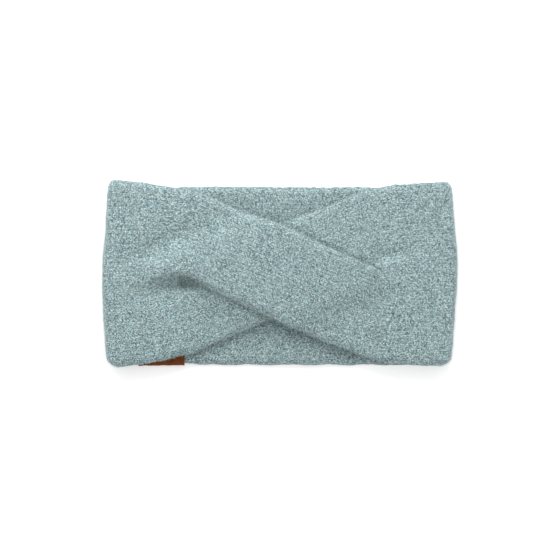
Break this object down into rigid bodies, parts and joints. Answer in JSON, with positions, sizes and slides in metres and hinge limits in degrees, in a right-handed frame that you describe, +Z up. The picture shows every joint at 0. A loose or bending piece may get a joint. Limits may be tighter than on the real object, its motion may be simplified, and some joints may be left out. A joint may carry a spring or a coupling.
{
  "type": "headwrap",
  "caption": "Wide knitted headband with a crossed front, lying flat: a band round the back and sides, straps crossing over each other, and a small leather tab.",
  "frame": {"origin": "on the surface it lies on, below the middle of its outline", "axes": "+X along the band to the wearer's left or right, from side fold to side fold; +Y across the band, towards its upper edge; +Z up from the back band to the crossed front"},
  "size_m": [0.2296, 0.1212, 0.016],
  "materials": {
    "knit": "matt blue-green melange wool knit, slightly fuzzy",
    "tab_leather": "brown, smooth, slightly worn at the edges"
  },
  "bodies": {
    "root": {"back_band": "knit", "over_strap": "knit", "under_strap": "knit", "leather_tab": "tab_leather"}
  },
  "joints": []
}
